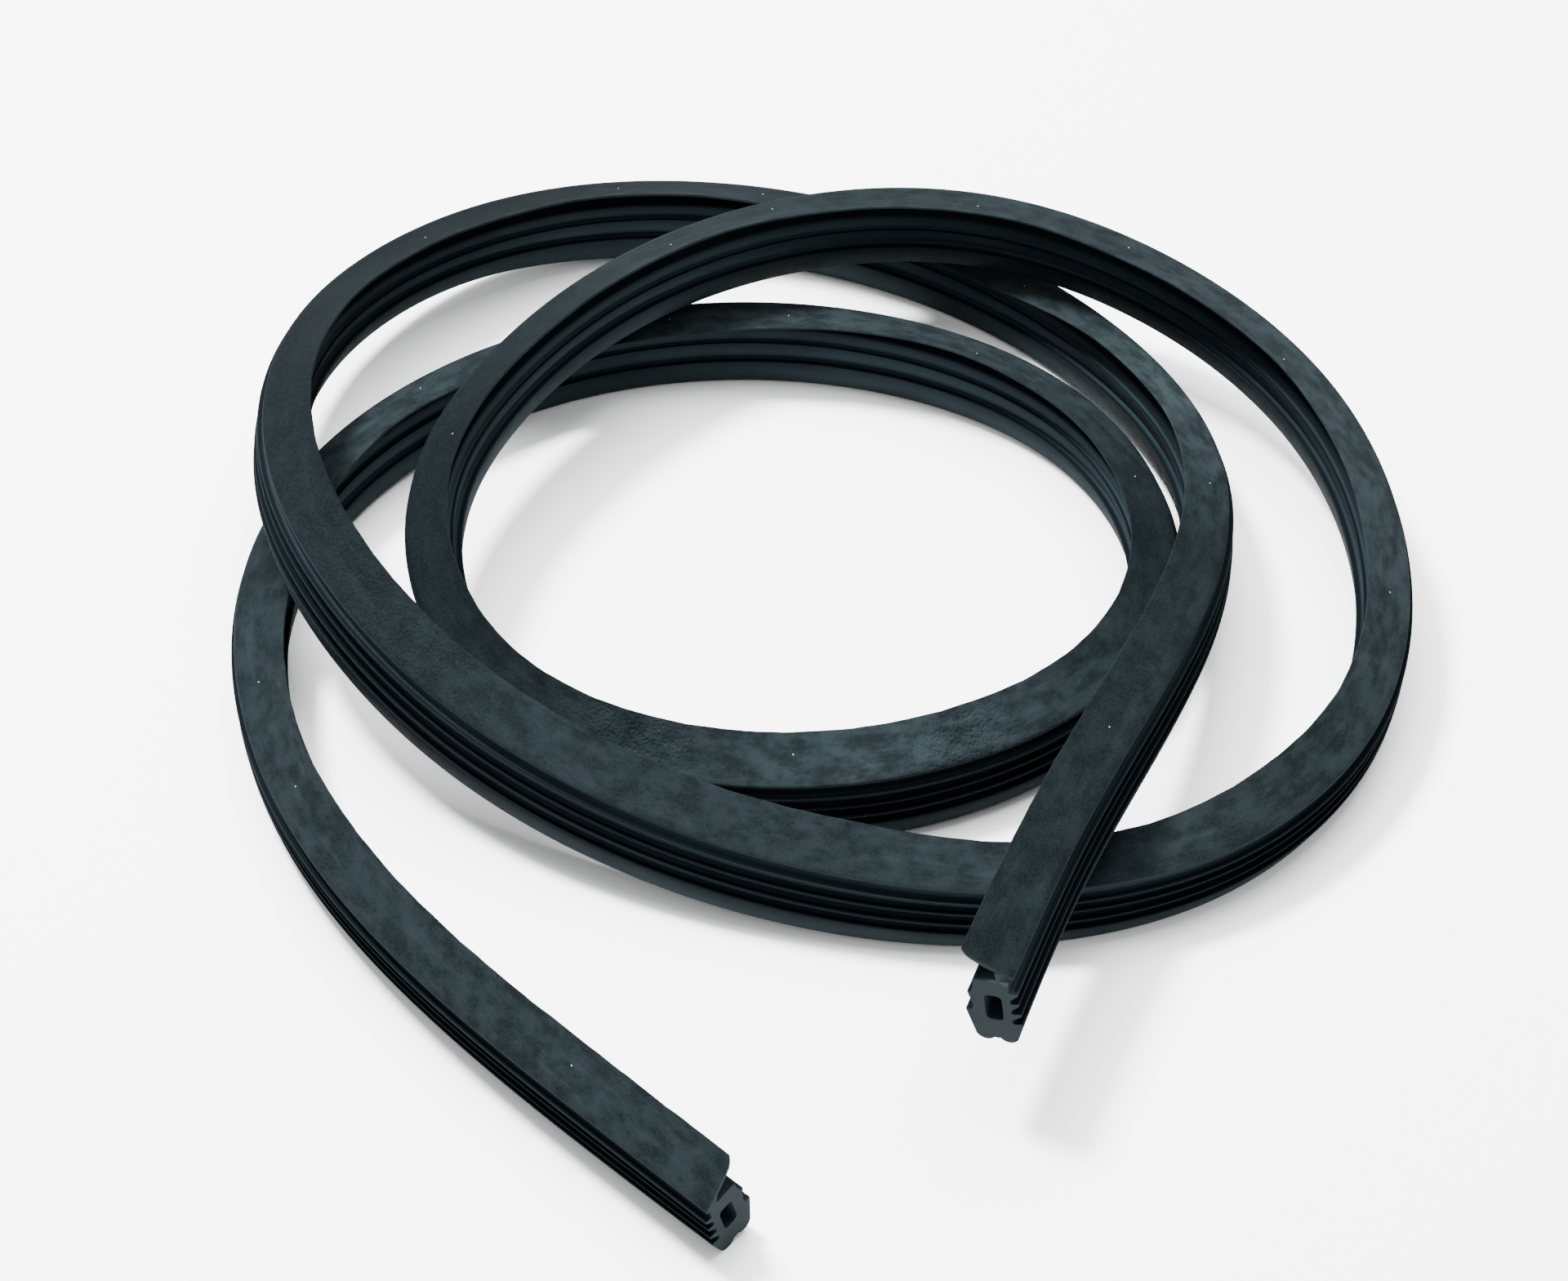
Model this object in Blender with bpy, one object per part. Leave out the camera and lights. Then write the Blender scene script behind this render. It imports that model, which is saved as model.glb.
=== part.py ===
"""Dishwasher door gasket: one length of extruded rubber, lying in loose turns on the floor.

The section is drawn once, with u towards the outer side of the coil and v upwards, and it
is swept along a smooth curve through the route's points. Lengths are in metres. Where one
turn lies on another, the lip of the lower one is pressed down onto its body.
"""
import math

import bmesh
import bpy
import numpy as np
from mathutils import Vector

MM = 0.001

# Floor that the coil's middle line covers
COIL_WIDTH = 237.0 * MM
COIL_DEPTH = 285.0 * MM

# Body of the section, around the hollow's middle line and above the foot
BODY_HEIGHT = 17.0 * MM
OUTER_WALL = 3.4 * MM
INNER_WALL = 3.7 * MM
SHOULDER_DROP = 0.95 * MM

# Foot: two round lobes with a shallow notch between them
LOBE_SPREAD = 2.3 * MM
LOBE_RADIUS = 2.05 * MM
NOTCH_DEPTH = 0.8 * MM
LOBE_TURNS = (215.0, 300.0)

# Hollow, open at both ends
HOLLOW_WIDTH = 3.5 * MM
HOLLOW_HEIGHT = 6.8 * MM
HOLLOW_FLOOR = 6.2 * MM
HOLLOW_CORNER = 0.8 * MM

# Outer barbs: thin fins that rise outwards, from the highest to the lowest
OUTER_REACHES = (1.8 * MM, 1.8 * MM, 2.1 * MM, 2.1 * MM)
OUTER_TOP_TIP = 14.45 * MM
OUTER_PITCH = 2.88 * MM
OUTER_ROOT = 1.75 * MM
OUTER_TIP = 0.6 * MM
OUTER_RISE = 0.5 * MM

# Inner barbs: wide teeth with a nearly level top and a long slope below
INNER_REACHES = (1.3 * MM, 2.0 * MM)
INNER_TOP_TIP = 13.3 * MM
INNER_PITCH = 5.1 * MM
INNER_TIP = 0.4 * MM
INNER_RISE = 0.4 * MM

# Lip: a flat flap that rises inwards from a short neck on the outer shoulder
LIP_WIDTH = 11.8 * MM
LIP_TILT = math.radians(33.0)
PRESSED_TILT = math.radians(8.0)
LIP_NOSE = 1.3 * MM
LIP_TIP = 0.5 * MM
LIP_CROWN = 0.2 * MM
NOSE_OVERHANG = 0.1 * MM
NOSE_GAP = 0.5 * MM
NECK_WIDTH = 1.9 * MM
NECK_FILLET = 0.8 * MM

# The lip is cut back towards its thin edge at both ends
END_SET_BACK = 0.8 * MM

# Air between a pressed lip and the turn that lies on it
CROSSING_GAP = 0.4 * MM

# Route of the foot's middle from one end to the other: across and away in thousandths of
# the coil's width and depth, rise in shares of a crossing's lift, lean of the section
# towards its outer side in degrees, and how far the lip is pressed down
ROUTE = (
    (-72, -500, 0.00, 14, 0.0),
    (-184, -415, 0.00, 12, 0.0),
    (-313, -306, 0.00, 12, 0.0),
    (-430, -174, 0.00, 9, 0.0),
    (-491, -38, 0.00, 5, 0.4),
    (-490, 101, 0.00, 3, 1.0),
    (-419, 224, 0.00, 0, 0.5),
    (-222, 336, 0.00, -2, 1.0),
    (-162, 349, 0.00, -2, 1.0),
    (102, 328, 0.00, -2, 0.3),
    (247, 239, 0.00, -4, 0.1),
    (299, 63, 0.00, 0, 0.0),
    (232, -49, 0.00, 1, 0.0),
    (71, -126, 0.00, 0, 0.0),
    (-114, -131, 0.11, 6, 0.0),
    (-289, -43, 0.40, 13, 0.0),
    (-339, 62, 0.82, 10, 0.0),
    (-285, 232, 1.02, -2, 0.0),
    (-171, 343, 1.03, -6, 0.0),
    (-7, 411, 1.02, -8, 0.2),
    (157, 413, 1.03, -12, 0.1),
    (338, 345, 0.80, -9, 0.1),
    (455, 228, 0.55, -2, 0.1),
    (499, 82, 0.31, 3, 0.1),
    (454, -84, 0.07, 8, 0.0),
    (317, -197, 0.00, 7, 0.9),
    (196, -231, 0.00, 3, 1.0),
    (-3, -227, 0.05, -5, 0.0),
    (-193, -176, 0.30, -8, 0.0),
    (-343, -94, 0.67, -9, 0.0),
    (-458, 33, 1.05, -9, 0.0),
    (-499, 183, 0.93, -8, 0.0),
    (-463, 338, 0.58, -11, 0.0),
    (-342, 457, 0.27, -12, 0.0),
    (-213, 500, 0.06, -3, 0.2),
    (-8, 488, 0.00, -1, 0.5),
    (168, 413, 0.00, -1, 1.0),
    (253, 345, 0.04, -2, 0.4),
    (346, 156, 0.38, 0, 0.0),
    (329, 11, 0.71, -1, 0.0),
    (268, -128, 1.00, -3, 0.1),
    (194, -263, 1.08, -4, 0.0),
    (137, -391, 1.06, -7, 0.0),
)

# The sweep gets one more section for each such turn of the path and for each such length
STATION_TURN = math.radians(15.0)
STATION_GAP = 50.0 * MM
ROUTE_SAMPLES = 4000
SLOPE_STEP = 0.2 * MM
SHARP_EDGE = math.radians(35.0)

RUBBER = (0.030, 0.040, 0.045, 1.0)
RUBBER_ROUGHNESS = 0.62


def clear_scene():
    for item in list(bpy.data.objects):
        bpy.data.objects.remove(item, do_unlink=True)


def arc(centre, radius, start, end, steps):
    """Points on an arc, ends included, angles in degrees and counterclockwise when rising."""
    turns = [math.radians(start + (end - start) * i / steps) for i in range(steps + 1)]
    return [(centre[0] + radius * math.cos(a), centre[1] + radius * math.sin(a)) for a in turns]


def foot_points():
    """The two lobes and the notch, from the inner slope to the outer one."""
    start, end = LOBE_TURNS
    inner = arc((-LOBE_SPREAD, LOBE_RADIUS), LOBE_RADIUS, start, end, 2)
    outer = [(-u, v) for u, v in reversed(inner)]
    return inner + [(0.0, NOTCH_DEPTH)] + outer


def outer_barb_points():
    """The fins of the outer side, from the lowest to the highest."""
    points = []
    for i, reach in reversed(list(enumerate(OUTER_REACHES))):
        tip = OUTER_TOP_TIP - i * OUTER_PITCH
        top = tip - OUTER_RISE + OUTER_TIP / 2
        if i < len(OUTER_REACHES) - 1:
            points.append((OUTER_WALL, top - OUTER_ROOT))
        points.append((OUTER_WALL + reach, tip - OUTER_TIP / 2))
        points.append((OUTER_WALL + reach, tip + OUTER_TIP / 2))
        points.append((OUTER_WALL, top))
    return points


def inner_barb_points():
    """The body's inner top corner and the teeth below it, from the highest to the lowest."""
    points = [(-INNER_WALL, BODY_HEIGHT)]
    for i, reach in enumerate(INNER_REACHES):
        tip = INNER_TOP_TIP - i * INNER_PITCH
        points.append((-INNER_WALL, tip - INNER_RISE))
        points.append((-INNER_WALL - reach, tip))
        points.append((-INNER_WALL - reach, tip - INNER_TIP))
    return points


def nose_centre():
    height = BODY_HEIGHT - SHOULDER_DROP + NOSE_GAP + LIP_NOSE / 2
    return Vector((OUTER_WALL + NOSE_OVERHANG, height))


def lip_points(press):
    """Shoulder, nose, top, thin edge and underside of the lip, back to the neck's inner foot."""
    tilt = LIP_TILT + (PRESSED_TILT - LIP_TILT) * press
    nose = nose_centre()
    inwards = Vector((-math.cos(tilt), math.sin(tilt)))
    normal = Vector((math.sin(tilt), math.cos(tilt)))
    reach = LIP_WIDTH - LIP_NOSE / 2
    neck = Vector((OUTER_WALL - NECK_WIDTH, BODY_HEIGHT))

    def half_thickness(way):
        return (LIP_NOSE + (LIP_TIP - LIP_NOSE) * way / reach) / 2

    def below(way):
        return nose + inwards * way - normal * half_thickness(way)

    facing = -math.degrees(tilt)
    points = [(OUTER_WALL, BODY_HEIGHT - SHOULDER_DROP)]
    points += arc(nose, LIP_NOSE / 2, facing - 90.0, facing + 90.0, 3)
    points.append(tuple(nose + inwards * (reach / 2) + normal * (half_thickness(reach / 2) + LIP_CROWN)))
    points.append(tuple(nose + inwards * reach + normal * (LIP_TIP / 2)))
    points.append(tuple(below(reach)))
    points.append(tuple(below(reach / 2)))
    points.append(tuple(below((nose.x - neck.x + NECK_FILLET) / math.cos(tilt))))
    points.append(tuple(neck))
    return points


def section_outline(press):
    """The whole outline, counterclockwise, and the places of its shoulder and neck points."""
    below = foot_points() + outer_barb_points()
    lip = lip_points(press)
    shoulder = len(below)
    neck = shoulder + len(lip) - 1
    return below + lip + inner_barb_points(), shoulder, neck


def hollow_outline():
    """The hollow, clockwise, with its corners cut."""
    half = HOLLOW_WIDTH / 2
    floor, roof = HOLLOW_FLOOR, HOLLOW_FLOOR + HOLLOW_HEIGHT
    cut = HOLLOW_CORNER
    return [
        (half - cut, floor), (-half + cut, floor), (-half, floor + cut), (-half, roof - cut),
        (-half + cut, roof), (half - cut, roof), (half, roof - cut), (half, floor + cut),
    ]


def crossing_lift():
    """How high the upper turn lies where it rests on a pressed lip."""
    outline = section_outline(1.0)[0]
    return max(v for _, v in outline) + CROSSING_GAP


def natural_spline(knots, values, at):
    """A natural cubic spline through the values, read at the given places."""
    n = len(knots)
    gap = np.diff(knots)
    system = np.eye(n)
    right = np.zeros_like(values)
    for i in range(1, n - 1):
        system[i, i - 1] = gap[i - 1]
        system[i, i] = 2 * (gap[i - 1] + gap[i])
        system[i, i + 1] = gap[i]
        right[i] = 6 * ((values[i + 1] - values[i]) / gap[i] - (values[i] - values[i - 1]) / gap[i - 1])
    bend = np.linalg.solve(system, right)
    k = np.clip(np.searchsorted(knots, at, side="right") - 1, 0, n - 2)
    h = gap[k][:, None]
    a = (knots[k + 1] - at)[:, None]
    b = (at - knots[k])[:, None]
    cubic = (bend[k] * a ** 3 + bend[k + 1] * b ** 3) / (6 * h)
    low = (values[k] / h - bend[k] * h / 6) * a
    high = (values[k + 1] / h - bend[k + 1] * h / 6) * b
    return cubic + low + high


def route_points():
    """The route's own points in metres, with the lean in radians and the press behind them."""
    lift = crossing_lift()
    rows = []
    for across, away, share, lean, press in ROUTE:
        place = (across / 1000 * COIL_WIDTH, away / 1000 * COIL_DEPTH, share * lift)
        rows.append(place + (math.radians(lean), press))
    return np.array(rows)


def foot_dip(lean):
    """How far the lower lobe of a leaning section would reach below the foot's middle."""
    return LOBE_SPREAD * abs(math.sin(lean)) + LOBE_RADIUS * (1 - math.cos(lean))


def stations():
    """Place, heading, section axes and press along the route, closer together where it bends."""
    points = route_points()
    steps = np.linalg.norm(np.diff(points[:, :3], axis=0), axis=1)
    knots = np.concatenate([[0.0], np.cumsum(steps)])
    fine = np.linspace(0.0, knots[-1], ROUTE_SAMPLES)
    line = natural_spline(knots, points, fine)
    runs = np.diff(line[:, :3], axis=0)
    lengths = np.linalg.norm(runs, axis=1)
    headings = runs / lengths[:, None]
    turns = np.arccos(np.clip((headings[1:] * headings[:-1]).sum(axis=1), -1.0, 1.0))
    share = np.concatenate([[0.0], np.cumsum(lengths) / STATION_GAP])
    share[2:] += np.cumsum(turns) / STATION_TURN
    count = math.ceil(share[-1])
    places = np.interp(np.linspace(0.0, share[-1], count + 1), share, fine)
    rows = natural_spline(knots, points, places)
    ahead = natural_spline(knots, points, np.clip(places + SLOPE_STEP, 0.0, knots[-1]))
    behind = natural_spline(knots, points, np.clip(places - SLOPE_STEP, 0.0, knots[-1]))
    frames = []
    for row, before, after in zip(rows, behind, ahead):
        heading = Vector(after[:3] - before[:3]).normalized()
        left = Vector((-heading.y, heading.x, 0.0)).normalized()
        up = heading.cross(left)
        lean = row[3]
        across = left * math.cos(lean) - up * math.sin(lean)
        rise = left * math.sin(lean) + up * math.cos(lean)
        place = Vector((row[0], row[1], max(0.0, row[2]) + foot_dip(lean)))
        frames.append((place, heading, across, rise, min(1.0, max(0.0, row[4]))))
    return frames


def fill_ring(bm, loop):
    """Fill a flat loop, or a loop with a hole in it, and return the new faces."""
    edges = []
    for ring in loop:
        for a, b in zip(ring, ring[1:] + ring[:1]):
            edge = bm.edges.get((a, b)) or bm.edges.new((a, b))
            edges.append(edge)
    found = bmesh.ops.triangle_fill(bm, edges=edges, use_beauty=True, use_dissolve=False)
    return [item for item in found["geom"] if isinstance(item, bmesh.types.BMFace)]


def set_back(u):
    """How far the lip's end lies behind the body's end, at one place across the lip."""
    reach = LIP_WIDTH * math.cos(LIP_TILT)
    return END_SET_BACK * max(0.0, (nose_centre().x - u) / reach)


def gasket_rings():
    """The outline and the hollow at every station, with the middle of the coil's floor at the origin."""
    rings = []
    frames = stations()
    last = len(frames) - 1
    for i, (place, heading, across, rise, press) in enumerate(frames):
        outline, shoulder, neck = section_outline(press)
        ring = [place + across * u + rise * v for u, v in outline]
        if i in (0, last):
            inward = heading if i == 0 else -heading
            for j in range(shoulder + 1, neck):
                ring[j] = ring[j] + inward * set_back(outline[j][0])
        bore = [place + across * u + rise * v for u, v in hollow_outline()]
        rings.append((ring, bore))
    points = [point for ring, _ in rings for point in ring]
    low = [min(point[k] for point in points) for k in range(3)]
    high = [max(point[k] for point in points) for k in range(3)]
    centre = Vector(((low[0] + high[0]) / 2, (low[1] + high[1]) / 2, low[2]))
    return [([p - centre for p in ring], [p - centre for p in bore]) for ring, bore in rings]


def build_gasket():
    _, shoulder, neck = section_outline(0.0)
    bm = bmesh.new()
    skins = []
    for ring, bore in gasket_rings():
        skins.append(([bm.verts.new(p) for p in ring], [bm.verts.new(p) for p in bore]))
    for (ring_a, bore_a), (ring_b, bore_b) in zip(skins, skins[1:]):
        for skin_a, skin_b in ((ring_a, ring_b), (bore_a, bore_b)):
            for j in range(len(skin_a)):
                k = (j + 1) % len(skin_a)
                bm.faces.new((skin_a[j], skin_b[j], skin_b[k], skin_a[k]))
    for ring, bore in (skins[0], skins[-1]):
        body = ring[:shoulder + 1] + ring[neck:]
        fill_ring(bm, [body, bore])
        fill_ring(bm, [ring[shoulder:neck + 1]])
    bmesh.ops.triangulate(bm, faces=bm.faces[:])
    bmesh.ops.recalc_face_normals(bm, faces=bm.faces[:])
    mesh = bpy.data.meshes.new("door_gasket")
    bm.to_mesh(mesh)
    bm.free()
    mesh.shade_smooth()
    mesh.set_sharp_from_angle(angle=SHARP_EDGE)
    gasket = bpy.data.objects.new("door_gasket", mesh)
    bpy.context.scene.collection.objects.link(gasket)
    return gasket


def rubber_material():
    material = bpy.data.materials.new("black_rubber")
    material.use_nodes = True
    shader = material.node_tree.nodes["Principled BSDF"]
    shader.inputs["Base Color"].default_value = RUBBER
    shader.inputs["Roughness"].default_value = RUBBER_ROUGHNESS
    shader.inputs["Metallic"].default_value = 0.0
    return material


def main():
    clear_scene()
    gasket = build_gasket()
    gasket.data.materials.append(rubber_material())


main()
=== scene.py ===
"""Dishwasher door gasket in loose turns: its look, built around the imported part.

The section and the route repeat the part's own, with more sections, rounded corners and
the small unevenness of soft rubber. Lengths are in metres.
"""

import math

import bmesh
import bpy
import numpy as np
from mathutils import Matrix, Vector


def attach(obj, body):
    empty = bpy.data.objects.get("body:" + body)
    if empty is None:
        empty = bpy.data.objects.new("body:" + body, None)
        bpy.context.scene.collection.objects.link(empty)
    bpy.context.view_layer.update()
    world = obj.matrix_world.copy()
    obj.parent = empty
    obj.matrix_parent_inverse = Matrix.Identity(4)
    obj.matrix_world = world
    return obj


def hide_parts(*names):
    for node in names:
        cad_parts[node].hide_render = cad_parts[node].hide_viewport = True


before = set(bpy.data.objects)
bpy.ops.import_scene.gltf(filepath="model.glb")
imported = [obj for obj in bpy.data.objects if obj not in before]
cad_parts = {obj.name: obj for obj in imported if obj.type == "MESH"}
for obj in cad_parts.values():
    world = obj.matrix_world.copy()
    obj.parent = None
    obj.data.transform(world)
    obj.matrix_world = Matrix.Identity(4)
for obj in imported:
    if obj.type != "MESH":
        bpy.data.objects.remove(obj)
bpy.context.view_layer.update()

MM = 0.001

# Floor that the coil's middle line covers, and the section, as in the part
COIL_WIDTH = 237.0 * MM
COIL_DEPTH = 285.0 * MM
BODY_HEIGHT = 17.0 * MM
OUTER_WALL = 3.4 * MM
INNER_WALL = 3.7 * MM
SHOULDER_DROP = 0.95 * MM
LOBE_SPREAD = 2.3 * MM
LOBE_RADIUS = 2.05 * MM
NOTCH_DEPTH = 0.8 * MM
HOLLOW_WIDTH = 3.5 * MM
HOLLOW_HEIGHT = 6.8 * MM
HOLLOW_FLOOR = 6.2 * MM
HOLLOW_CORNER = 0.9 * MM
OUTER_REACHES = (1.8 * MM, 1.8 * MM, 2.1 * MM, 2.1 * MM)
OUTER_TOP_TIP = 14.45 * MM
OUTER_PITCH = 2.88 * MM
OUTER_ROOT = 1.75 * MM
OUTER_TIP = 0.6 * MM
OUTER_RISE = 0.5 * MM
INNER_REACHES = (1.3 * MM, 2.0 * MM)
INNER_TOP_TIP = 13.3 * MM
INNER_PITCH = 5.1 * MM
INNER_TIP = 0.4 * MM
INNER_RISE = 0.4 * MM
LIP_WIDTH = 11.8 * MM
LIP_TILT = math.radians(33.0)
PRESSED_TILT = math.radians(8.0)
LIP_NOSE = 1.3 * MM
LIP_TIP = 0.5 * MM
LIP_CROWN = 0.2 * MM
NOSE_OVERHANG = 0.1 * MM
NOSE_GAP = 0.5 * MM
NECK_WIDTH = 1.9 * MM
NECK_FILLET = 0.8 * MM
END_SET_BACK = 0.8 * MM
CROSSING_GAP = 0.4 * MM

# Middle of the coil's box on the floor, measured from the route's own zero
COIL_MIDDLE = Vector((-0.116 * MM, 0.229 * MM, 0.0))

# Route as in the part: across, away, rise in lifts, lean in degrees, press of the lip
ROUTE = (
    (-72, -500, 0.00, 14, 0.0),
    (-184, -415, 0.00, 12, 0.0),
    (-313, -306, 0.00, 12, 0.0),
    (-430, -174, 0.00, 9, 0.0),
    (-491, -38, 0.00, 5, 0.4),
    (-490, 101, 0.00, 3, 1.0),
    (-419, 224, 0.00, 0, 0.5),
    (-222, 336, 0.00, -2, 1.0),
    (-162, 349, 0.00, -2, 1.0),
    (102, 328, 0.00, -2, 0.3),
    (247, 239, 0.00, -4, 0.1),
    (299, 63, 0.00, 0, 0.0),
    (232, -49, 0.00, 1, 0.0),
    (71, -126, 0.00, 0, 0.0),
    (-114, -131, 0.11, 6, 0.0),
    (-289, -43, 0.40, 13, 0.0),
    (-339, 62, 0.82, 10, 0.0),
    (-285, 232, 1.02, -2, 0.0),
    (-171, 343, 1.03, -6, 0.0),
    (-7, 411, 1.02, -8, 0.2),
    (157, 413, 1.03, -12, 0.1),
    (338, 345, 0.80, -9, 0.1),
    (455, 228, 0.55, -2, 0.1),
    (499, 82, 0.31, 3, 0.1),
    (454, -84, 0.07, 8, 0.0),
    (317, -197, 0.00, 7, 0.9),
    (196, -231, 0.00, 3, 1.0),
    (-3, -227, 0.05, -5, 0.0),
    (-193, -176, 0.30, -8, 0.0),
    (-343, -94, 0.67, -9, 0.0),
    (-458, 33, 1.05, -9, 0.0),
    (-499, 183, 0.93, -8, 0.0),
    (-463, 338, 0.58, -11, 0.0),
    (-342, 457, 0.27, -12, 0.0),
    (-213, 500, 0.06, -3, 0.2),
    (-8, 488, 0.00, -1, 0.5),
    (168, 413, 0.00, -1, 1.0),
    (253, 345, 0.04, -2, 0.4),
    (346, 156, 0.38, 0, 0.0),
    (329, 11, 0.71, -1, 0.0),
    (268, -128, 1.00, -3, 0.1),
    (194, -263, 1.08, -4, 0.0),
    (137, -391, 1.06, -7, 0.0),
)

# Turns in degrees of the corners of the foot's two lobes
INNER_LOBE_TURNS = (205, 232, 259, 284, 306, 326)
OUTER_LOBE_TURNS = (214, 234, 256, 281, 308, 335)

# Round the lip's nose, from below to above: the ridge share of each point, which sets painted highlight
# and painted shade, and how much lip
NOSE_RIDGE = (0.0, 0.2, 0.6, 1.0, 0.9, 0.45)
NOSE_LIP = (0.0, 0.0, 0.2, 0.8, 1.0, 1.0)

# Points across the lip as shares of its width, above and below
LIP_TOP_SHARES = (0.12, 0.3, 0.5, 0.66, 0.79, 0.87, 0.93, 0.975)
LIP_UNDER_SHARES = (0.975, 0.93, 0.87, 0.79, 0.5)

# Ridge share of the first and last point of a rounded corner, which sets painted highlight and painted
# shade, as a share of the middle's
CORNER_SIDE_RIDGE = 0.55

# Sections along the strand, and how the cut ends blend back into it
ROUTE_SAMPLES = 4000
STATION_STEP = 2.6 * MM
SLOPE_STEP = 0.2 * MM
END_BLEND = 16.0 * MM
LIP_CORNER = 2.6 * MM
SHARP_ANGLE = math.radians(48.0)

# At the upper end the lip's nose is cut back too
NOSE_SET_BACK = 1.4 * MM

# An unpressed lip sags a little between its nose and its thin edge
LIP_SAG = 0.22 * MM

# Unevenness of the lip: its tilt and its edge wave over these lengths in mm
TILT_WAVE = math.radians(1.3)
TILT_LENGTHS = (143.0, 61.0, 37.0)
EDGE_WAVE = 0.10 * MM
EDGE_INSET = 0.05 * MM
EDGE_LENGTHS = (19.0, 11.3, 7.1)

# How dusty the lip is along the strand, and where its skin is pebbled
LIP_DUST = (
    (0.00, 0.40), (0.06, 0.40), (0.20, 0.30), (0.28, 0.45), (0.35, 0.55), (0.42, 0.35), (0.47, 0.10),
    (0.52, 0.50), (0.57, 1.00), (0.61, 0.50), (0.65, 0.20), (0.70, 0.05), (0.77, 0.20), (0.83, 0.30),
    (0.99, 0.65), (1.08, 0.35), (1.15, 0.40), (1.23, 0.35), (1.31, 0.10), (1.47, 0.05), (1.56, 0.40),
    (1.64, 1.00), (1.70, 0.20), (1.83, 0.20),
)
PEBBLED = ((0.548, 0.011), (0.617, 0.015), (1.283, 0.024))

# Camera of the photograph: looking along +Y and down, 1920 by 1569
IMAGE_WIDTH = 1920
CAMERA_FOCUS = 5139.6
CAMERA_DOWN = math.radians(45.741)
CAMERA_DISTANCE = 901.1 * MM
CAMERA_TARGET = Vector((-8.120 * MM, 14.876 * MM, 0.0))
SENSOR = 36.0
CLIP_START = 0.01

# Lights aim at the middle of the floor: place, size and power
KEY = ((-0.50, 0.30, 1.25), 0.28, 88.0)
OVERHEAD = ((0.0, 0.45, 1.7), 1.6, 120.0)
WORLD_STRENGTH = 1.30
FLOOR_HALF = 4


# Section

def rounded(points, radii, steps):
    """Round each corner of a closed outline with a short curve of steps + 1 points."""
    out = []
    count = len(points)
    for i, point in enumerate(points):
        if steps[i] == 0:
            out.append(point)
            continue
        before, after = points[i - 1], points[(i + 1) % count]
        cut_in = min(radii[i], (point - before).length * 0.45)
        cut_out = min(radii[i], (after - point).length * 0.45)
        a = point + (before - point).normalized() * cut_in
        b = point + (after - point).normalized() * cut_out
        for k in range(steps[i] + 1):
            t = k / steps[i]
            out.append(a * (1 - t) ** 2 + point * (2 * t * (1 - t)) + b * t ** 2)
    return out


def lobe(side):
    """One lobe of the foot, from the inner side to the outer one."""
    turns = INNER_LOBE_TURNS if side < 0 else OUTER_LOBE_TURNS
    centre = Vector((side * LOBE_SPREAD, LOBE_RADIUS))
    return [
        centre + LOBE_RADIUS * Vector((math.cos(math.radians(a)), math.sin(math.radians(a))))
        for a in turns
    ]


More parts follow.
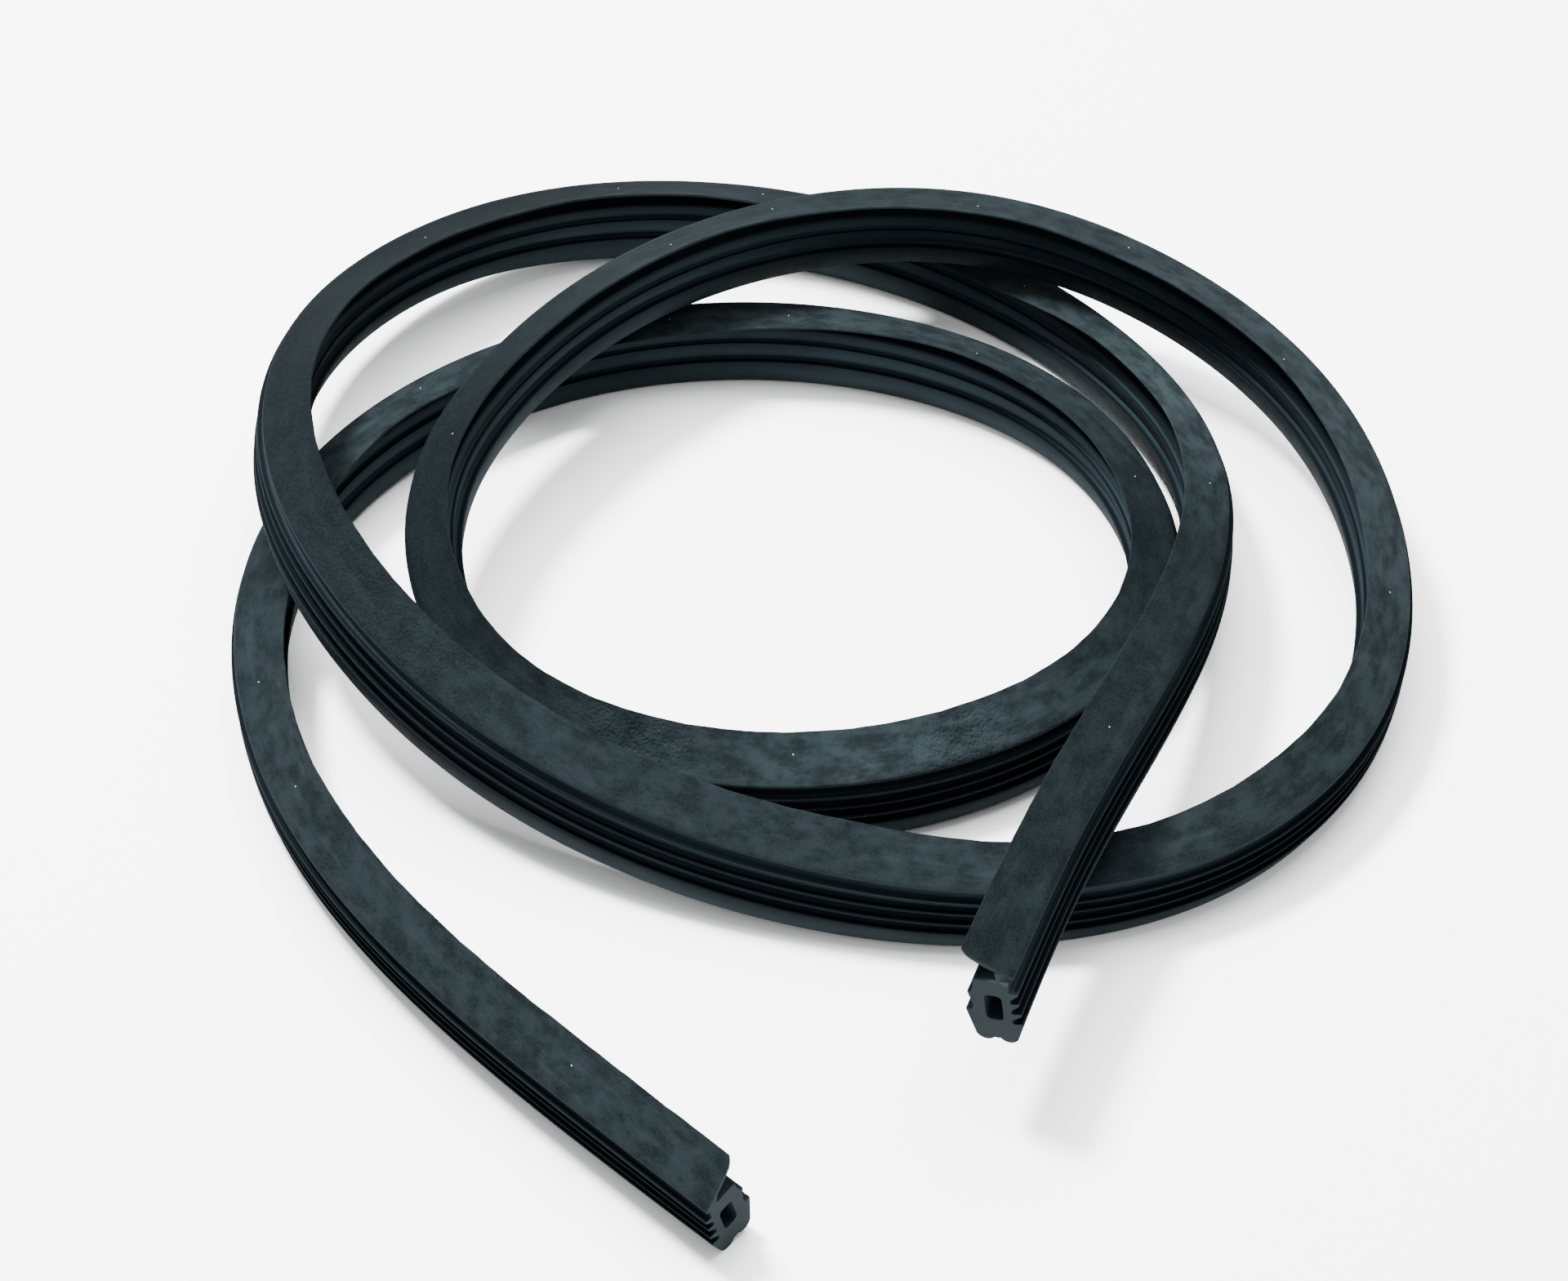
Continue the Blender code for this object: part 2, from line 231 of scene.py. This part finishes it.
def section(press, tilt_shift=0.0, reach_shift=0.0):
    """Corners in order: point, rounding, its steps, and share of ridge, lip and foot."""
    rows = []

    def add(u, v, radius=0.0, steps=0, ridge=0.0, lip=0.0, foot=0.0):
        rows.append((Vector((u, v)), radius * MM, steps, ridge, lip, foot))

    add(0.0, NOTCH_DEPTH, 0.5, 2, 0.0, 0.0, 0.6)
    for point in lobe(1):
        add(point.x, point.y, foot=1.0)
    for i, reach in reversed(list(enumerate(OUTER_REACHES))):
        tip = OUTER_TOP_TIP - i * OUTER_PITCH
        top = tip - OUTER_RISE + OUTER_TIP / 2
        lowest = i == len(OUTER_REACHES) - 1
        if not lowest:
            add(OUTER_WALL, top - OUTER_ROOT, 0.35, 1)
        add(OUTER_WALL + reach, tip - OUTER_TIP / 2, 0.25, 1, 0.3, 0.0, 1.0 if lowest else 0.0)
        add(OUTER_WALL + reach, tip + OUTER_TIP / 2, 0.3, 2, 1.0)
        add(OUTER_WALL, top, 0.35, 1)
    add(OUTER_WALL, BODY_HEIGHT - SHOULDER_DROP, 0.35, 1)

    tilt = LIP_TILT + (PRESSED_TILT - LIP_TILT) * press + tilt_shift
    nose = Vector((OUTER_WALL + NOSE_OVERHANG, BODY_HEIGHT - SHOULDER_DROP + NOSE_GAP + LIP_NOSE / 2))
    inwards = Vector((-math.cos(tilt), math.sin(tilt)))
    normal = Vector((math.sin(tilt), math.cos(tilt)))
    full = LIP_WIDTH - LIP_NOSE / 2
    reach = full + reach_shift

    def half(way):
        return (LIP_NOSE + (LIP_TIP - LIP_NOSE) * way / full) / 2

    first_lip = len(rows)
    for k, (ridge, lip) in enumerate(zip(NOSE_RIDGE, NOSE_LIP)):
        a = -tilt - math.pi / 2 + math.pi * k / (len(NOSE_RIDGE) - 1)
        p = nose + Vector((math.cos(a), math.sin(a))) * (LIP_NOSE / 2)
        add(p.x, p.y, ridge=ridge, lip=lip)
    for share in LIP_TOP_SHARES:
        crown = (LIP_CROWN * press - LIP_SAG * (1 - press)) * 4 * share * (1 - share)
        p = nose + inwards * (reach * share) + normal * (half(reach * share) + crown)
        add(p.x, p.y, lip=1.0)
    for sign, ridge in ((1.0, 0.5), (-1.0, 0.2)):
        p = nose + inwards * reach + normal * (sign * LIP_TIP / 2)
        add(p.x, p.y, 0.16, 1, ridge, 1.0 if sign > 0 else 0.2)
    neck = Vector((OUTER_WALL - NECK_WIDTH, BODY_HEIGHT))
    fillet = (nose.x - neck.x + NECK_FILLET) / math.cos(tilt)
    for way in [reach * share for share in LIP_UNDER_SHARES] + [fillet]:
        share = way / reach
        sag = LIP_SAG * (1 - press) * 4 * share * (1 - share) if way > fillet else 0.0
        p = nose + inwards * way - normal * (half(way) + sag)
        add(p.x, p.y)
    last_lip = len(rows) - 1
    add(neck.x, neck.y, 0.5, 2)
    add(-INNER_WALL, BODY_HEIGHT, 0.7, 3, 0.35)
    for i, reach_in in enumerate(INNER_REACHES):
        tip = INNER_TOP_TIP - i * INNER_PITCH
        add(-INNER_WALL, tip - INNER_RISE, 0.5, 1)
        add(-INNER_WALL - reach_in, tip, 0.3, 2, 1.0)
        add(-INNER_WALL - reach_in, tip - INNER_TIP, 0.3, 1, 0.3)
    for point in lobe(-1):
        add(point.x, point.y, foot=1.0)
    return rows, first_lip, last_lip


def fine_outline(press, tilt_shift, reach_shift):
    rows, _, _ = section(press, tilt_shift, reach_shift)
    return rounded([r[0] for r in rows], [r[1] for r in rows], [r[2] for r in rows])


def outline_zones():
    """Ridge, lip and foot share of each point of the rounded outline, and which are lip."""
    rows, first_lip, last_lip = section(0.0)
    zones = []
    lip = []
    for i, row in enumerate(rows):
        count = row[2] + 1 if row[2] else 1
        for k in range(count):
            outer = count > 1 and k in (0, count - 1)
            zones.append((row[3] * (CORNER_SIDE_RIDGE if outer else 1.0), row[4], row[5]))
            lip.append(first_lip <= i <= last_lip)
    return zones, lip


def hollow_outline():
    half, radius = HOLLOW_WIDTH / 2, HOLLOW_CORNER
    out = []
    for cx, cy, start in ((1, -1, 0), (-1, -1, -90), (-1, 1, -180), (1, 1, -270)):
        for k in range(3):
            a = math.radians(start - 45 * k)
            middle = Vector((cx * (half - radius), HOLLOW_FLOOR + HOLLOW_HEIGHT / 2
                             + cy * (HOLLOW_HEIGHT / 2 - radius)))
            out.append(middle + Vector((math.cos(a), math.sin(a))) * radius)
    return out


# Route

def natural_spline(knots, values, at):
    """A smooth curve through the values at the knots, read at other places."""
    n = len(knots)
    gap = np.diff(knots)
    system = np.eye(n)
    right = np.zeros_like(values)
    for i in range(1, n - 1):
        system[i, i - 1] = gap[i - 1]
        system[i, i] = 2 * (gap[i - 1] + gap[i])
        system[i, i + 1] = gap[i]
        right[i] = 6 * ((values[i + 1] - values[i]) / gap[i] - (values[i] - values[i - 1]) / gap[i - 1])
    bend = np.linalg.solve(system, right)
    k = np.clip(np.searchsorted(knots, at, side="right") - 1, 0, n - 2)
    h = gap[k][:, None]
    a = (knots[k + 1] - at)[:, None]
    b = (at - knots[k])[:, None]
    cubic = (bend[k] * a ** 3 + bend[k + 1] * b ** 3) / (6 * h)
    low = (values[k] / h - bend[k] * h / 6) * a
    high = (values[k + 1] / h - bend[k + 1] * h / 6) * b
    return cubic + low + high


def crossing_lift():
    """How high a turn lies that rests on another, from the height of a pressed section."""
    rows, _, _ = section(1.0)
    return max(row[0].y for row in rows) + CROSSING_GAP


def stations():
    """Evenly spaced places with heading, section axes, press and way along the strand."""
    lift = crossing_lift()
    points = np.array([
        (x / 1000 * COIL_WIDTH, y / 1000 * COIL_DEPTH, share * lift, math.radians(lean), press)
        for x, y, share, lean, press in ROUTE
    ])
    steps = np.linalg.norm(np.diff(points[:, :3], axis=0), axis=1)
    knots = np.concatenate([[0.0], np.cumsum(steps)])
    fine = np.linspace(0.0, knots[-1], ROUTE_SAMPLES)
    line = natural_spline(knots, points, fine)
    way = np.concatenate([[0.0], np.cumsum(np.linalg.norm(np.diff(line[:, :3], axis=0), axis=1))])
    count = math.ceil(way[-1] / STATION_STEP)
    along = np.linspace(0.0, way[-1], count + 1)
    places = np.interp(along, way, fine)
    rows = natural_spline(knots, points, places)
    ahead = natural_spline(knots, points, np.clip(places + SLOPE_STEP, 0.0, knots[-1]))
    behind = natural_spline(knots, points, np.clip(places - SLOPE_STEP, 0.0, knots[-1]))
    frames = []
    for row, before, after, s in zip(rows, behind, ahead, along):
        heading = Vector(after[:3] - before[:3]).normalized()
        left = Vector((-heading.y, heading.x, 0.0)).normalized()
        up = heading.cross(left)
        lean = row[3]
        across = left * math.cos(lean) - up * math.sin(lean)
        rise = left * math.sin(lean) + up * math.cos(lean)
        dip = LOBE_SPREAD * abs(math.sin(lean)) + LOBE_RADIUS * (1 - math.cos(lean))
        place = Vector((row[0], row[1], max(0.0, row[2]) + dip)) - COIL_MIDDLE
        frames.append((place, heading, across, rise, min(1.0, max(0.0, row[4])), s))
    return frames, way[-1]


def wave(s, seed, lengths):
    """A smooth uneven curve along the strand, between about -1 and 1."""
    total = 0.0
    for k, length in enumerate(lengths):
        total += math.sin(2 * math.pi * (s / (length * MM) + 0.377 * seed + 0.618 * k * seed))
    return total / len(lengths)


def set_back(u, at_nose):
    """How far the lip's end lies behind the body's end, with the lip's corner rounded."""
    reach = LIP_WIDTH * math.cos(LIP_TILT)
    share = max(0.0, (OUTER_WALL + NOSE_OVERHANG - u) / reach)
    from_edge = max(0.0, (1.0 - share) * reach)
    inside = max(0.0, LIP_CORNER - from_edge)
    slant = at_nose + (END_SET_BACK - at_nose) * share
    return slant + LIP_CORNER - math.sqrt(max(0.0, LIP_CORNER ** 2 - inside ** 2))


# Mesh

def cap(bm, loops, faces_out):
    """Close an end between its loops, and add the new faces to the list."""
    edges = []
    for loop in loops:
        for a, b in zip(loop, loop[1:] + loop[:1]):
            edges.append(bm.edges.get((a, b)) or bm.edges.new((a, b)))
    found = bmesh.ops.triangle_fill(bm, edges=edges, use_beauty=True, use_dissolve=False)
    faces_out += [item for item in found["geom"] if isinstance(item, bmesh.types.BMFace)]


def build_strand():
    frames, length = stations()
    zone, on_lip = outline_zones()
    ways, dusts = zip(*LIP_DUST)
    hollow = hollow_outline()
    bm = bmesh.new()
    strip = bm.verts.layers.float_vector.new("strip")
    zones = bm.verts.layers.float_vector.new("zones")
    cut = bm.verts.layers.float.new("cut")
    wear = bm.verts.layers.float_vector.new("wear")
    skins = []
    for place, heading, across, rise, press, s in frames:
        loose = 1.0 - press
        tilt_shift = TILT_WAVE * wave(s, 1, TILT_LENGTHS) * loose
        reach_shift = EDGE_WAVE * wave(s, 2, EDGE_LENGTHS) - EDGE_INSET
        points = fine_outline(press, tilt_shift, reach_shift)
        to_start = max(0.0, 1.0 - s / END_BLEND)
        to_end = max(0.0, 1.0 - (length - s) / END_BLEND)
        dust = float(np.interp(s, ways, dusts))
        pebbled = max(math.exp(-((s - way) / half) ** 2) for way, half in PEBBLED)
        ring = []
        for j, p in enumerate(points):
            point = place + across * p.x + rise * p.y
            if on_lip[j]:
                point += heading * set_back(p.x, 0.0) * to_start
                point -= heading * set_back(p.x, NOSE_SET_BACK) * to_end
            vert = bm.verts.new(point)
            vert[strip] = (p.x, s, p.y)
            vert[zones] = zone[j]
            vert[wear] = (dust, pebbled, 0.0)
            ring.append(vert)
        bore = []
        for p in hollow:
            vert = bm.verts.new(place + across * p.x + rise * p.y)
            vert[strip] = (p.x, s, p.y)
            bore.append(vert)
        skins.append((ring, bore))
    for (ring_a, bore_a), (ring_b, bore_b) in zip(skins, skins[1:]):
        for skin_a, skin_b in ((ring_a, ring_b), (bore_a, bore_b)):
            for j in range(len(skin_a)):
                k = (j + 1) % len(skin_a)
                bm.faces.new((skin_a[j], skin_b[j], skin_b[k], skin_a[k]))
    first = on_lip.index(True) - 1
    last = len(on_lip) - on_lip[::-1].index(True)
    ends = []
    for ring, bore in (skins[0], skins[-1]):
        cap(bm, [ring[:first + 1] + ring[last:], bore], ends)
        cap(bm, [ring[first:last + 1]], ends)
    in_ends = set(ends)
    rims = [edge for edge in bm.edges
            if len(edge.link_faces) == 2 and sum(face in in_ends for face in edge.link_faces) == 1]
    bmesh.ops.split_edges(bm, edges=rims)
    for face in ends:
        for vert in face.verts:
            vert[cut] = 1.0
    bmesh.ops.recalc_face_normals(bm, faces=bm.faces[:])
    mesh = bpy.data.meshes.new("gasket_strand")
    bm.to_mesh(mesh)
    bm.free()
    mesh.shade_smooth()
    mesh.set_sharp_from_angle(angle=SHARP_ANGLE)
    strand = bpy.data.objects.new("gasket_strand", mesh)
    bpy.context.scene.collection.objects.link(strand)
    return strand


# Materials

class Nodes:
    """Short calls for building a node tree."""

    def __init__(self, name):
        self.material = bpy.data.materials.new(name)
        self.material.use_nodes = True
        self.tree = self.material.node_tree
        self.shader = self.tree.nodes["Principled BSDF"]

    def link(self, source, target):
        self.tree.links.new(source, target)

    def feed(self, socket, value):
        if isinstance(value, bpy.types.NodeSocket):
            self.link(value, socket)
        else:
            socket.default_value = value

    def attribute(self, name, output="Fac"):
        node = self.tree.nodes.new("ShaderNodeAttribute")
        node.attribute_name = name
        return node.outputs[output]

    def split(self, vector):
        node = self.tree.nodes.new("ShaderNodeSeparateXYZ")
        self.link(vector, node.inputs[0])
        return node.outputs

    def math(self, operation, a, b):
        node = self.tree.nodes.new("ShaderNodeMath")
        node.operation = operation
        self.feed(node.inputs[0], a)
        self.feed(node.inputs[1], b)
        return node.outputs[0]

    def place(self, vector, scale, turn=0.0):
        node = self.tree.nodes.new("ShaderNodeMapping")
        self.link(vector, node.inputs["Vector"])
        node.inputs["Scale"].default_value = scale
        node.inputs["Rotation"].default_value = (0.0, 0.0, turn)
        return node.outputs[0]

    def noise(self, vector, scale, detail=2.0, rough=0.5):
        node = self.tree.nodes.new("ShaderNodeTexNoise")
        self.link(vector, node.inputs["Vector"])
        node.inputs["Scale"].default_value = scale
        node.inputs["Detail"].default_value = detail
        node.inputs["Roughness"].default_value = rough
        return node.outputs["Fac"]

    def cells(self, vector, scale):
        node = self.tree.nodes.new("ShaderNodeTexVoronoi")
        self.link(vector, node.inputs["Vector"])
        node.inputs["Scale"].default_value = scale
        return node

    def span(self, value, low, high, to_low=0.0, to_high=1.0):
        node = self.tree.nodes.new("ShaderNodeMapRange")
        node.interpolation_type = "SMOOTHSTEP"
        self.link(value, node.inputs["Value"])
        limits = {"From Min": low, "From Max": high, "To Min": to_low, "To Max": to_high}
        for name, number in limits.items():
            node.inputs[name].default_value = number
        return node.outputs[0]

    def mix(self, share, a, b):
        node = self.tree.nodes.new("ShaderNodeMix")
        node.data_type = "RGBA"
        self.feed(node.inputs["Factor"], share)
        self.feed(node.inputs["A"], a)
        self.feed(node.inputs["B"], b)
        return node.outputs["Result"]

    def bump(self, height, strength, distance, normal=None):
        node = self.tree.nodes.new("ShaderNodeBump")
        node.inputs["Strength"].default_value = strength
        node.inputs["Distance"].default_value = distance
        self.link(height, node.inputs["Height"])
        if normal is not None:
            self.link(normal, node.inputs["Normal"])
        return node.outputs[0]


# Tones of the rubber: dark patches and painted shade, walls painted lighter as fill light, its lip,
# dust, painted highlight on tips, foot painted lighter as light bounced from the floor, and cuts
DARK_PATCH_AND_PAINTED_SHADE = (0.0020, 0.0034, 0.0043, 1.0)
WALL_WITH_PAINTED_FILL = (0.0105, 0.0172, 0.0205, 1.0)
LIP = (0.0011, 0.0018, 0.0022, 1.0)
POWDER = (0.0138, 0.0204, 0.0226, 1.0)
PAINTED_TIP_HIGHLIGHT = (0.0150, 0.0200, 0.0220, 1.0)
FOOT_WITH_PAINTED_BOUNCE = (0.0150, 0.0200, 0.0218, 1.0)
CUT = (0.0150, 0.0195, 0.0215, 1.0)
SPECK = (0.3500, 0.3800, 0.3800, 1.0)
FLOOR_DARK = (0.90, 0.90, 0.90, 1.0)
FLOOR_LIGHT = (0.92, 0.92, 0.92, 1.0)


def rubber():
    n = Nodes("black_rubber")
    # The strip is across, along and up the section, in metres, so the grain runs with the strand
    strip = n.attribute("strip", "Vector")
    ridge, lip, foot = n.split(n.attribute("zones", "Vector"))
    cut = n.attribute("cut")

    clouds = n.noise(n.place(strip, (60.0, 26.0, 60.0)), 1.0, 3.0, 0.6)
    mottle = n.noise(n.place(strip, (260.0, 150.0, 260.0)), 1.0, 4.0, 0.65)
    scuffs = n.noise(n.place(strip, (420.0, 75.0, 200.0), math.radians(38.0)), 1.0, 3.0, 0.6)
    dust, pebbled, _ = n.split(n.attribute("wear", "Vector"))
    dusty_lip = n.math("MULTIPLY", dust, lip)
    grain = n.noise(strip, 2600.0, 2.0, 0.6)
    pebble = n.cells(strip, 1150.0).outputs["Distance"]
    streak = n.noise(n.place(strip, (2400.0, 20.0, 2400.0)), 1.0, 2.0, 0.5)

    # The walls take a lighter tone than the lip's rubber: painted fill light in the recesses and on the
    # flanks
    tone = n.mix(lip, WALL_WITH_PAINTED_FILL, LIP)
    # Painted light: the foot lobes and the lowest outer fin tip are lighter, standing in for light
    # bounced up from the floor
    tone = n.mix(n.math("MULTIPLY", foot, 0.8), tone, FOOT_WITH_PAINTED_BOUNCE)
    tone = n.mix(n.span(clouds, 0.35, 0.62, 0.35, 0.0), tone, DARK_PATCH_AND_PAINTED_SHADE)
    dusty = n.math("MULTIPLY", dusty_lip, n.span(mottle, 0.35, 0.65, 0.30, 1.0))
    tone = n.mix(dusty, tone, POWDER)
    rubbed = n.math("MULTIPLY", n.span(scuffs, 0.50, 0.70, 0.0, 0.5), dusty_lip)
    tone = n.mix(rubbed, tone, POWDER)
    tone = n.mix(n.math("MULTIPLY", n.span(grain, 0.35, 0.65, 0.0, 0.16), lip), tone, POWDER)
    # Painted shade: away from the lip, fin flanks darken towards their tips, standing in for the shadow
    # the lip casts on them
    painted_flank_shade = n.math("MULTIPLY", n.span(ridge, 0.0, 0.28, 0.0, 0.95), n.math("SUBTRACT", 1.0, lip))
    tone = n.mix(painted_flank_shade, tone, DARK_PATCH_AND_PAINTED_SHADE)
    # Painted highlight: a thin light line along the fin tips and the lip's nose, broken up by the
    # streaks
    painted_highlight = n.math("MULTIPLY", n.math("POWER", ridge, 8.0), n.span(streak, 0.25, 0.6, 0.45, 0.85))
    tone = n.mix(painted_highlight, tone, PAINTED_TIP_HIGHLIGHT)
    tone = n.mix(n.math("MULTIPLY", cut, n.span(grain, 0.2, 0.8, 0.8, 1.0)), tone, CUT)

    # A few specks of dust
    specks = n.cells(strip, 62.0)
    specks.voronoi_dimensions = "2D"
    rare = n.math("GREATER_THAN", n.split(specks.outputs["Color"])[0], 0.80)
    dots = n.math("MULTIPLY", n.math("LESS_THAN", specks.outputs["Distance"], 0.008), rare)
    tone = n.mix(n.math("MULTIPLY", dots, lip), tone, SPECK)
    n.link(tone, n.shader.inputs["Base Color"])

    rough = n.span(mottle, 0.3, 0.7, 0.62, 0.80)
    n.link(rough, n.shader.inputs["Roughness"])
    n.shader.inputs["Specular IOR Level"].default_value = 0.006
    n.shader.inputs["Sheen Weight"].default_value = 0.003
    n.shader.inputs["Sheen Roughness"].default_value = 0.5

    broken = n.math("MULTIPLY", pebbled, n.span(clouds, 0.3, 0.5))
    patches = n.math("MULTIPLY", n.span(pebble, 0.0, 0.7), broken)
    normal = n.bump(patches, 0.8, 0.00022)
    normal = n.bump(grain, 0.35, 0.00006, normal)
    normal = n.bump(streak, 0.20, 0.00005, normal)
    n.link(normal, n.shader.inputs["Normal"])
    return n.material


def floor_material():
    n = Nodes("floor")
    geometry = n.tree.nodes.new("ShaderNodeNewGeometry")
    tone = n.mix(n.noise(geometry.outputs["Position"], 3.0, 2.0), FLOOR_DARK, FLOOR_LIGHT)
    n.link(tone, n.shader.inputs["Base Color"])
    n.shader.inputs["Roughness"].default_value = 0.9
    n.shader.inputs["Specular IOR Level"].default_value = 0.0
    return n.material


# Stage

def build_floor():
    mesh = bpy.data.meshes.new("floor")
    corners = [(x * FLOOR_HALF, y * FLOOR_HALF, 0) for x, y in ((-1, -1), (1, -1), (1, 1), (-1, 1))]
    mesh.from_pydata(corners, [], [(0, 1, 2, 3)])
    floor = bpy.data.objects.new("floor", mesh)
    bpy.context.scene.collection.objects.link(floor)
    mesh.materials.append(floor_material())
    return floor


def add_light(name, place, size, power):
    data = bpy.data.lights.new(name, "AREA")
    data.shape = "DISK"
    data.size = size
    data.energy = power
    light = bpy.data.objects.new(name, data)
    light.location = place
    light.rotation_euler = (-Vector(place)).to_track_quat("-Z", "Y").to_euler()
    bpy.context.scene.collection.objects.link(light)


def build_world():
    world = bpy.data.worlds.new("studio")
    world.use_nodes = True
    background = world.node_tree.nodes["Background"]
    background.inputs["Color"].default_value = (1.0, 1.0, 1.0, 1.0)
    background.inputs["Strength"].default_value = WORLD_STRENGTH
    bpy.context.scene.world = world


def build_camera():
    data = bpy.data.cameras.new("camera")
    data.sensor_width = SENSOR
    data.lens = CAMERA_FOCUS / IMAGE_WIDTH * SENSOR
    data.clip_start = CLIP_START
    camera = bpy.data.objects.new("camera", data)
    back = Vector((0.0, -math.cos(CAMERA_DOWN), math.sin(CAMERA_DOWN)))
    camera.location = CAMERA_TARGET + back * CAMERA_DISTANCE
    camera.rotation_euler = (math.pi / 2 - CAMERA_DOWN, 0.0, 0.0)
    bpy.context.scene.collection.objects.link(camera)
    bpy.context.scene.camera = camera


build_camera()
build_world()
add_light("key", *KEY)
add_light("overhead", *OVERHEAD)
floor = build_floor()

strand = build_strand()
strand.data.materials.append(rubber())
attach(strand, "root")
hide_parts("door_gasket")
